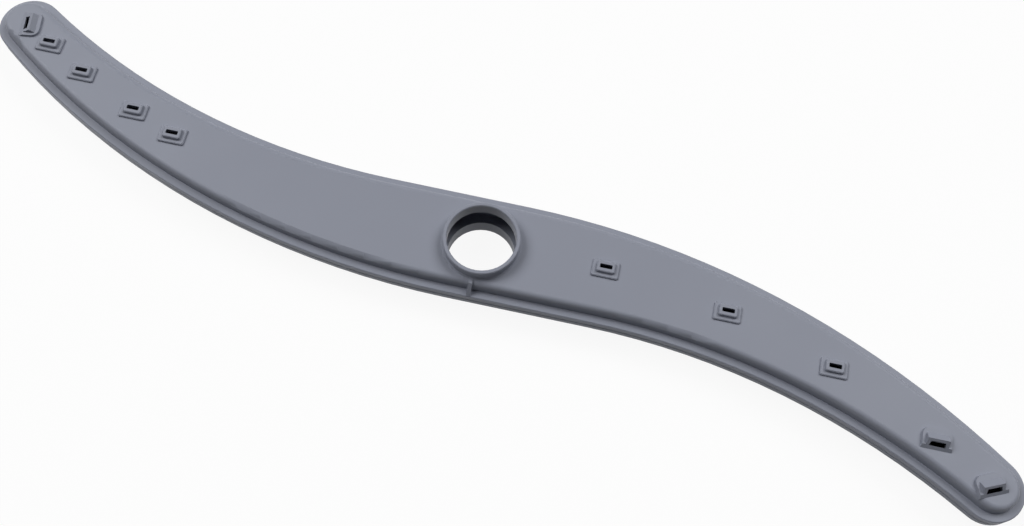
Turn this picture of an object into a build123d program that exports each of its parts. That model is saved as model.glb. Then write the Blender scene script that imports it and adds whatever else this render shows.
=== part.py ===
"""Dishwasher spray arm: an S-curved hollow arm of two plastic mouldings, welded together round a flange.

The hub axis is the Z axis, and the arm rests on its lower collar at z = 0. Near the hub the arm runs
straight along X. Each arm then bends on a wide arc and tapers to a round tip, the right arm towards -Y
and the left arm, turned half round, towards +Y.
"""
import os
from math import cos, radians, sin, sqrt, tan

from build123d import *

os.makedirs("parts", exist_ok=True)

# Plan of the arm, in millimetres and degrees
hub_width = 46.7  # across the straight run, flange edge to flange edge
tip_width = 27.4  # across the round tip of each arm
bend_radius = 344.0  # of each arm's centre line
right_bend_start = 33.6  # from the hub axis to where the right arm's centre line begins to bend
left_bend_start = 28.1
right_sweep = 33.4  # angle that the right arm's centre line turns through, up to its tip
left_sweep = 34.7  # angle of the left arm's turn

# Section of the two mouldings
wall = 1.3
flange_width = 3.5
flange_thickness = 3.4  # of each of the two flanges
flange_chamfer = 0.4  # on the outer edge of each flange
seam_chamfer = 0.45  # on each side of the weld line
body_rise = 5.1  # of the upper body above its flange
body_draft = 8.0  # angle of the body's sides from the vertical
body_round = 2.3
floor_drop = 1.5  # of the lower floor below its flange

# Hub collars and the rib beside the upper one
bore_radius = 14.75
collar_wall = 1.75
collar_rise = 5.25  # above the body
collar_foot = 0.7  # width and height of the cone round the upper collar's foot
collar_drop = 6.9  # below the floor
rim_chamfer = 0.35  # on both edges of each collar's end
rib_width = 1.7
rib_shift = 0.6  # from the hub axis to the rib's middle, towards the left arm
rib_shelf = 2.7  # length of the rib's level part past the collar
rib_lip = 0.35  # height of the rib above the body and the flange

# Stepped nozzles: a wide pad, a smaller pad on it, and a slot along X
slot_length = 5.3
slot_width = 1.9
slot_draft = 12.0  # angle by which the slot widens on its way down into the channel
slot_corner = 0.75  # cut off each corner of the slot's wide lower end
pad_length = 11.8
pad_depth = 8.1
pad_shift = 0.4  # from the slot's middle to the wide pad's middle, towards -Y
pad_height = 1.0
pad_corner = 0.6  # cut off each corner of the wide pad in plan
step_length = 8.3
step_depth = 5.5
step_height = 1.5
step_corner = 1.1  # radius of the small pad's corners in plan
pad_draft = 12.0  # angle of the pads' sides from the vertical
pad_chamfer = 0.3  # on the top edges

# Hooded nozzles: a pad with a rounded back, and a wedge whose slanted front holds the slot. The two on the
# right arm have a steep front, and the one on the left arm is lower and slants more gently.
hood_pad_width = 12.7
hood_pad_depth = 9.0
hood_pad_corner = 3.4  # radius of the rounded back in plan
hood_width = 9.1
hood_slot_length = 6.35
right_hood_pad_height = 1.5
right_hood_rise = 4.1  # of the wedge's ridge above the body
right_hood_front_run = 3.5  # from the foot of the slanted front back to the ridge
right_hood_back_gap = 2.5  # from the wedge's back to the pad's back
right_hood_slot_gap = 1.4  # from the ridge forward to the middle of the slot
right_hood_slot_width = 1.42
left_hood_pad_height = 1.0
left_hood_rise = 2.75
left_hood_front_run = 5.3
left_hood_back_gap = 1.75
left_hood_slot_gap = 2.35
left_hood_slot_width = 2.0

# Nozzle places: distance back from the centre of the arm's tip along its centre line, then distance from that
# line to the outside of the bend. Hooded nozzles have the turn of their front from -Y as well.
right_nozzles = [(77.7, -0.8), (126.5, -0.1), (180.5, 0.6)]
left_nozzles = [(18.0, -0.4), (39.8, -0.4), (70.9, -0.6), (92.5, -0.6)]
right_hoods = [(2.2, -2.2, 23.4), (28.8, -1.8, 0.0)]
left_hoods = [(4.0, -0.25, 81.6)]

# Heights above the lower collar's end
floor_bottom = collar_drop
lower_flange_bottom = floor_bottom + floor_drop
seam = lower_flange_bottom + flange_thickness
flange_top = seam + flange_thickness
body_top = flange_top + body_rise
ceiling = body_top - wall
rim = body_top + collar_rise

collar_radius = bore_radius + collar_wall
side_wall = wall / cos(radians(body_draft))
lean = tan(radians(body_draft))  # how far the body's sides lean in for each millimetre of height
slot_depth = wall + pad_height + step_height
slot_spread = slot_depth * tan(radians(slot_draft))


def taper_shift(sweep):
    """Offset of the two edge arcs' centres that narrows an arm from the hub width to the tip width."""
    return (hub_width - tip_width) / 2 / sin(radians(sweep))


def arm_edge(start, sweep, inset):
    """Points of one arm's outline, for an arm along +X that bends towards -Y: outer edge, tip, inner edge."""
    half = hub_width / 2 - inset
    shift = taper_shift(sweep)
    turn = radians(sweep)
    tip = Vector(start + bend_radius * sin(turn), sqrt(bend_radius**2 - shift**2) * cos(turn) - bend_radius)
    outer_centre = Vector(start - shift, -bend_radius)
    inner_centre = Vector(start + shift, -bend_radius)
    return [
        Vector(start - shift, half),
        outer_centre + (tip - outer_centre).normalized() * (bend_radius + half),
        tip + Vector(cos(turn), -sin(turn)) * (tip_width / 2 - inset),
        inner_centre + (tip - inner_centre).normalized() * (bend_radius - half),
        Vector(start + shift, -half),
    ]


def outline(inset):
    """Face of the whole arm's plan, drawn in by inset from the flange's edge."""
    right = arm_edge(right_bend_start, right_sweep, inset)
    left = [-point for point in arm_edge(left_bend_start, left_sweep, inset)]
    with BuildSketch() as plan:
        with BuildLine():
            for here, other, along in ((right, left, (1, 0)), (left, right, (-1, 0))):
                Line(other[4], here[0])
                TangentArc(here[0], here[1], tangent=along)
                ThreePointArc(here[1], here[2], here[3])
                TangentArc(here[4], here[3], tangent=along)
        make_face()
    return plan.sketch


def centre_line(start, sweep, back, outward):
    """Point beside an arm's centre line, a distance back from the centre of its tip."""
    run = bend_radius * radians(sweep) - back
    if run < 0:
        return Vector(start + run, outward)
    turn = run / bend_radius
    reach = bend_radius + outward
    return Vector(start + reach * sin(turn), reach * cos(turn) - bend_radius)


right_at = [centre_line(right_bend_start, right_sweep, *place) for place in right_nozzles]
left_at = [-centre_line(left_bend_start, left_sweep, *place) for place in left_nozzles]
stepped_at = [(point.X, point.Y) for point in right_at + left_at]
pads_at = [(x, y - pad_shift) for x, y in stepped_at]

right_hoods_at = []
for back, outward, turn in right_hoods:
    point = centre_line(right_bend_start, right_sweep, back, outward)
    right_hoods_at.append(Location((point.X, point.Y, body_top), (0, 0, turn)))
left_hoods_at = []
for back, outward, turn in left_hoods:
    point = -centre_line(left_bend_start, left_sweep, back, outward)
    left_hoods_at.append(Location((point.X, point.Y, body_top), (0, 0, -turn)))

hood_front = -hood_pad_depth / 2


def hooded_nozzle(pad_height, rise, front_run, back_gap):
    """A hood at the origin, with its front towards -Y and its foot sunk past the body's round edge."""
    ridge = hood_front + front_run
    back = hood_pad_depth / 2 - back_gap
    with BuildPart() as hood:
        with BuildSketch() as plan:
            Rectangle(hood_pad_width, hood_pad_depth)
            fillet(plan.vertices().group_by(Axis.Y)[-1], hood_pad_corner)
        extrude(amount=pad_height, taper=pad_draft)
        extrude(plan.sketch, amount=-body_round)
        with BuildSketch(Plane.YZ):
            with BuildLine():
                Polyline((hood_front, 0), (ridge, rise), (back, pad_height), (back, 0), close=True)
            make_face()
        extrude(amount=hood_width / 2, both=True)
        with BuildSketch(Plane.YZ):
            with BuildLine():
                Polyline((hood_front, 0), (ridge, rise), (hood_front, rise), close=True)
            make_face()
        extrude(amount=hood_pad_width, both=True, mode=Mode.SUBTRACT)
    return hood.part


def hood_slot(rise, front_run, slot_gap, slot_width):
    """The slot of a hood, which widens on its way from the slanted front down into the channel."""
    slot_rise = rise * (1 - slot_gap / front_run)  # height of the front at the slot's middle
    spread = (body_round + slot_rise) * tan(radians(slot_draft))
    with BuildPart() as slot:
        with BuildSketch(Plane.XY.offset(-body_round)):
            with Locations((0, hood_front + front_run - slot_gap)):
                Rectangle(hood_slot_length + 2 * spread, slot_width + 2 * spread)
        extrude(amount=body_round + rise, taper=slot_draft)
    return slot.part


right_hood = hooded_nozzle(
    right_hood_pad_height, right_hood_rise, right_hood_front_run, right_hood_back_gap
)
right_hood_slot = hood_slot(
    right_hood_rise, right_hood_front_run, right_hood_slot_gap, right_hood_slot_width
)
left_hood = hooded_nozzle(left_hood_pad_height, left_hood_rise, left_hood_front_run, left_hood_back_gap)
left_hood_slot = hood_slot(left_hood_rise, left_hood_front_run, left_hood_slot_gap, left_hood_slot_width)

with BuildPart() as upper_shell:
    with BuildSketch(Plane.XY.offset(seam)):
        add(outline(0))
    extrude(amount=flange_thickness)
    chamfer(upper_shell.faces().sort_by(Axis.Z)[-1].edges(), flange_chamfer)
    chamfer(upper_shell.faces().sort_by(Axis.Z)[0].edges(), seam_chamfer)

    # Raised body with leaning sides
    with BuildSketch(Plane.XY.offset(flange_top)):
        add(outline(flange_width))
    with BuildSketch(Plane.XY.offset(body_top)):
        add(outline(flange_width + body_rise * lean))
    loft(ruled=True)
    fillet(upper_shell.faces().sort_by(Axis.Z)[-1].edges(), body_round)

    # Nozzles on the body
    with BuildSketch(Plane.XY.offset(body_top)) as pads:
        with Locations(*pads_at):
            Rectangle(pad_length, pad_depth)
        chamfer(pads.vertices(), pad_corner)
    extrude(amount=pad_height, taper=pad_draft)
    chamfer(upper_shell.faces().group_by(Axis.Z)[-1].edges(), pad_chamfer)
    with BuildSketch(Plane.XY.offset(body_top + pad_height)) as steps:
        with Locations(*stepped_at):
            RectangleRounded(step_length, step_depth, step_corner)
    extrude(amount=step_height, taper=pad_draft)
    chamfer(upper_shell.faces().group_by(Axis.Z)[-1].edges(), pad_chamfer)
    with Locations(*right_hoods_at):
        add(right_hood)
    with Locations(*left_hoods_at):
        add(left_hood)

    # Rib from the collar over the body's side to the flange's edge
    with BuildSketch(Plane.YZ.offset(-rib_shift)):
        with BuildLine():
            Polyline(
                (-bore_radius, seam),
                (-bore_radius, body_top + rib_lip),
                (-collar_radius - rib_shelf, body_top + rib_lip),
                (-hub_width / 2 + flange_chamfer, flange_top + rib_lip),
                (-hub_width / 2 + flange_chamfer, seam),
                close=True,
            )
        make_face()
    extrude(amount=rib_width / 2, both=True)

    # Collar with its cone-shaped foot, water channel, bore and slots
    with BuildSketch(Plane.XY.offset(ceiling)):
        Circle(collar_radius)
    extrude(amount=rim - ceiling)
    with BuildSketch(Plane.XY.offset(ceiling)):
        Circle(collar_radius + collar_foot + wall)
    extrude(amount=wall + collar_foot, taper=45)
    with BuildSketch(Plane.XY.offset(seam)):
        add(outline(flange_width + side_wall))
    extrude(amount=flange_thickness, mode=Mode.SUBTRACT)
    with BuildSketch(Plane.XY.offset(flange_top)):
        add(outline(flange_width + side_wall))
    with BuildSketch(Plane.XY.offset(ceiling)):
        add(outline(flange_width + side_wall + (body_rise - wall) * lean))
    loft(ruled=True, mode=Mode.SUBTRACT)
    with BuildSketch(Plane.XY.offset(seam)):
        Circle(bore_radius)
    extrude(amount=rim - seam, mode=Mode.SUBTRACT)
    chamfer(upper_shell.edges().group_by(Axis.Z)[-1], rim_chamfer)
    with BuildSketch(Plane.XY.offset(ceiling)) as slots:
        with Locations(*stepped_at):
            Rectangle(slot_length + 2 * slot_spread, slot_width + 2 * slot_spread)
        chamfer(slots.vertices(), slot_corner)
    extrude(amount=slot_depth, taper=slot_draft, mode=Mode.SUBTRACT)
    with Locations(*right_hoods_at):
        add(right_hood_slot, mode=Mode.SUBTRACT)
    with Locations(*left_hoods_at):
        add(left_hood_slot, mode=Mode.SUBTRACT)
upper_shell.part.label = "upper_shell"
export_step(upper_shell.part, "parts/upper_shell.step")

with BuildPart() as lower_shell:
    with BuildSketch(Plane.XY.offset(lower_flange_bottom)):
        add(outline(0))
    extrude(amount=flange_thickness)
    chamfer(lower_shell.faces().sort_by(Axis.Z)[0].edges(), flange_chamfer)
    chamfer(lower_shell.faces().sort_by(Axis.Z)[-1].edges(), seam_chamfer)

    # Shallow floor and collar
    with BuildSketch(Plane.XY.offset(lower_flange_bottom)):
        add(outline(flange_width))
    with BuildSketch(Plane.XY.offset(floor_bottom)):
        add(outline(flange_width + floor_drop * lean))
    loft(ruled=True)
    with BuildSketch():
        Circle(collar_radius)
    extrude(amount=floor_bottom + wall)

    # Water channel and bore
    with BuildSketch(Plane.XY.offset(floor_bottom + wall)):
        add(outline(flange_width + side_wall))
    extrude(amount=seam - floor_bottom - wall, mode=Mode.SUBTRACT)
    with BuildSketch():
        Circle(bore_radius)
    extrude(amount=seam, mode=Mode.SUBTRACT)
    chamfer(lower_shell.edges().group_by(Axis.Z)[0], rim_chamfer)
lower_shell.part.label = "lower_shell"
export_step(lower_shell.part, "parts/lower_shell.step")
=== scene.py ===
from math import radians

import bpy
from mathutils import Matrix, Vector

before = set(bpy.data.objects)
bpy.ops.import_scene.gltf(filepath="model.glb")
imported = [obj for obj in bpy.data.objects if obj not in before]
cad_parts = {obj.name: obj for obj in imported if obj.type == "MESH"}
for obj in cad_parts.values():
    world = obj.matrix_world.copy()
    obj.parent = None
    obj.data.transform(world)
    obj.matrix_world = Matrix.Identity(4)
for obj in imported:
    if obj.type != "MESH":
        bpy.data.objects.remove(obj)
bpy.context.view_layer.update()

# Upper shell: the nozzle half of the arm, injection moulded in blue-grey polypropylene with its flange,
# collar, rib and every nozzle in one piece. Its mould is spark-eroded, so the skin is satin with a very
# fine grain, and the melt leaves faint cloudy flow marks.
arm_grey = (0.269, 0.285, 0.341, 1.0)
arm_grey_flow = (0.263, 0.279, 0.335, 1.0)
flow_mark_size = 0.045
flow_mark_detail = 3.0
flow_mark_raggedness = 0.55
flow_mark_range = (0.3, 0.7)  # of the noise, from the plain grey to the flow marks
satin_roughness = (0.42, 0.50)
satin_specular = 0.25
grain_size = 0.0006
grain_detail = 2.0
grain_depth = 0.00002
grain_strength = 0.5


def add_node(tree, kind, **inputs):
    """A new shader node, with its input values given by name and a low line for each space."""
    node = tree.nodes.new(kind)
    for name, value in inputs.items():
        node.inputs[name.replace("_", " ")].default_value = value
    return node


def moulded_plastic(name):
    """Satin polypropylene with a fine moulded grain, cloudy flow marks and a slightly uneven gloss."""
    material = bpy.data.materials.new(name)
    material.use_nodes = True
    tree = material.node_tree
    link = tree.links.new
    shader = tree.nodes["Principled BSDF"]
    shader.inputs["Specular IOR Level"].default_value = satin_specular
    place = add_node(tree, "ShaderNodeTexCoord").outputs["Object"]

    flow = add_node(
        tree,
        "ShaderNodeTexNoise",
        Scale=1 / flow_mark_size,
        Detail=flow_mark_detail,
        Roughness=flow_mark_raggedness,
    )
    link(place, flow.inputs["Vector"])
    tint = add_node(tree, "ShaderNodeValToRGB")
    for stop, position, colour in zip(tint.color_ramp.elements, flow_mark_range, (arm_grey, arm_grey_flow)):
        stop.position = position
        stop.color = colour
    link(flow.outputs["Fac"], tint.inputs["Fac"])
    link(tint.outputs["Color"], shader.inputs["Base Color"])

    gloss = add_node(
        tree,
        "ShaderNodeMapRange",
        From_Min=flow_mark_range[0],
        From_Max=flow_mark_range[1],
        To_Min=satin_roughness[0],
        To_Max=satin_roughness[1],
    )
    link(flow.outputs["Fac"], gloss.inputs["Value"])
    link(gloss.outputs["Result"], shader.inputs["Roughness"])

    grain = add_node(tree, "ShaderNodeTexNoise", Scale=1 / grain_size, Detail=grain_detail)
    link(place, grain.inputs["Vector"])
    skin = add_node(tree, "ShaderNodeBump", Strength=grain_strength, Distance=grain_depth)
    link(grain.outputs["Fac"], skin.inputs["Height"])
    link(skin.outputs["Normal"], shader.inputs["Normal"])
    return material


upper_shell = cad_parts["upper_shell"]
upper_shell.data.materials[0] = moulded_plastic("upper_shell_plastic")

# Lower shell: the closing half with the lower collar, moulded in the same polypropylene, and hot-plate
# welded to the upper shell all round the flange.
lower_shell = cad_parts["lower_shell"]
lower_shell.data.materials[0] = moulded_plastic("lower_shell_plastic")

# Floor: a wide sweep of white paper, on which the arm lies with its lower collar. It shows almost white
# with a faint shadow, and the light that it sends back up to the arm is that of a pale grey table.
floor_size = 16.0
floor_white = (0.9, 0.9, 0.9, 1.0)
floor_bounce_grey = (0.48, 0.48, 0.48, 1.0)
floor_glow = 0.92  # share of the white that the shadow doesn't darken


def seen_directly(tree):
    """One for what the camera sees, also in a reflection or through glass, and nought for bounced light."""
    ray = add_node(tree, "ShaderNodeLightPath")
    seen = ray.outputs["Is Camera Ray"]
    for kind in ("Is Glossy Ray", "Is Transmission Ray"):
        either = add_node(tree, "ShaderNodeMath")
        either.operation = "MAXIMUM"
        tree.links.new(seen, either.inputs[0])
        tree.links.new(ray.outputs[kind], either.inputs[1])
        seen = either.outputs["Value"]
    return seen


def mix_shaders(tree, first, second):
    """A shader node that mixes two others, the first one at a factor of nought."""
    mixed = add_node(tree, "ShaderNodeMixShader")
    tree.links.new(first.outputs[0], mixed.inputs[1])
    tree.links.new(second.outputs[0], mixed.inputs[2])
    return mixed


bpy.ops.mesh.primitive_plane_add(size=floor_size)
floor = bpy.context.object
floor.name = "floor"
paper = bpy.data.materials.new("floor_paper")
paper.use_nodes = True
paper_tree = paper.node_tree
paper_tree.nodes.remove(paper_tree.nodes["Principled BSDF"])
bounce = add_node(paper_tree, "ShaderNodeBsdfDiffuse", Color=floor_bounce_grey)
matt = add_node(paper_tree, "ShaderNodeBsdfDiffuse", Color=floor_white)
glow = add_node(paper_tree, "ShaderNodeEmission", Strength=1.0)
shown = mix_shaders(paper_tree, matt, glow)
shown.inputs["Fac"].default_value = floor_glow
paper_surface = mix_shaders(paper_tree, bounce, shown)
paper_tree.links.new(seen_directly(paper_tree), paper_surface.inputs["Fac"])
paper_tree.links.new(paper_surface.outputs[0], paper_tree.nodes["Material Output"].inputs["Surface"])
floor.data.materials.append(paper)

# Light: two large softboxes at half height, one to the left of the arm and one behind it to the right, in
# a dim room. Seen directly, the room is as white as the far floor.
softboxes = {
    "left_softbox": ((-2.81, 0.83, 3.42), 124.0),
    "right_softbox": ((1.98, 2.10, 3.45), 110.0),
}
softbox_size = 2.6
room_colour = (1.0, 1.0, 1.0, 1.0)
room_level = 0.01
room_white = 0.94
for name, (place, power) in softboxes.items():
    softbox = bpy.data.lights.new(name, "AREA")
    softbox.size = softbox_size
    softbox.energy = power
    softbox_object = bpy.data.objects.new(name, softbox)
    bpy.context.scene.collection.objects.link(softbox_object)
    softbox_object.location = place
    softbox_object.rotation_euler = Vector(place).to_track_quat("Z", "Y").to_euler()

world = bpy.data.worlds.new("room")
bpy.context.scene.world = world
world.use_nodes = True
room_tree = world.node_tree
room_tree.nodes.remove(room_tree.nodes["Background"])
dim = add_node(room_tree, "ShaderNodeBackground", Color=room_colour, Strength=room_level)
bright = add_node(room_tree, "ShaderNodeBackground", Color=room_colour, Strength=room_white)
room_surface = mix_shaders(room_tree, dim, bright)
room_tree.links.new(seen_directly(room_tree), room_surface.inputs["Fac"])
room_tree.links.new(room_surface.outputs[0], room_tree.nodes["World Output"].inputs["Surface"])

# Camera: above the near side of the arm, looking steeply down on it, a little tilted. The lens is given by
# the photograph's focal length in pixels.
image_width = 1024
focal_pixels = 1095.7
sensor_width = 36.0
clip_range = (0.01, 50.0)
frame_offset_pixels = (14.09, 0.8)  # of the picture's middle, to the right and up
camera_place = Vector((0.03372, -0.18159, 0.44688))
camera_heading = radians(4.345)
camera_elevation = radians(67.41)
camera_roll = radians(7.85)
camera = bpy.data.cameras.new("camera")
camera.sensor_width = sensor_width
camera.lens = sensor_width * focal_pixels / image_width
camera.shift_x = -frame_offset_pixels[0] / image_width
camera.shift_y = -frame_offset_pixels[1] / image_width
camera.clip_start, camera.clip_end = clip_range
camera_object = bpy.data.objects.new("camera", camera)
bpy.context.scene.collection.objects.link(camera_object)
camera_object.matrix_world = (
    Matrix.Translation(camera_place)
    @ Matrix.Rotation(camera_heading, 4, "Z")
    @ Matrix.Rotation(radians(90) - camera_elevation, 4, "X")
    @ Matrix.Rotation(camera_roll, 4, "Z")
)
bpy.context.scene.camera = camera_object
bpy.context.scene.view_settings.view_transform = "Standard"
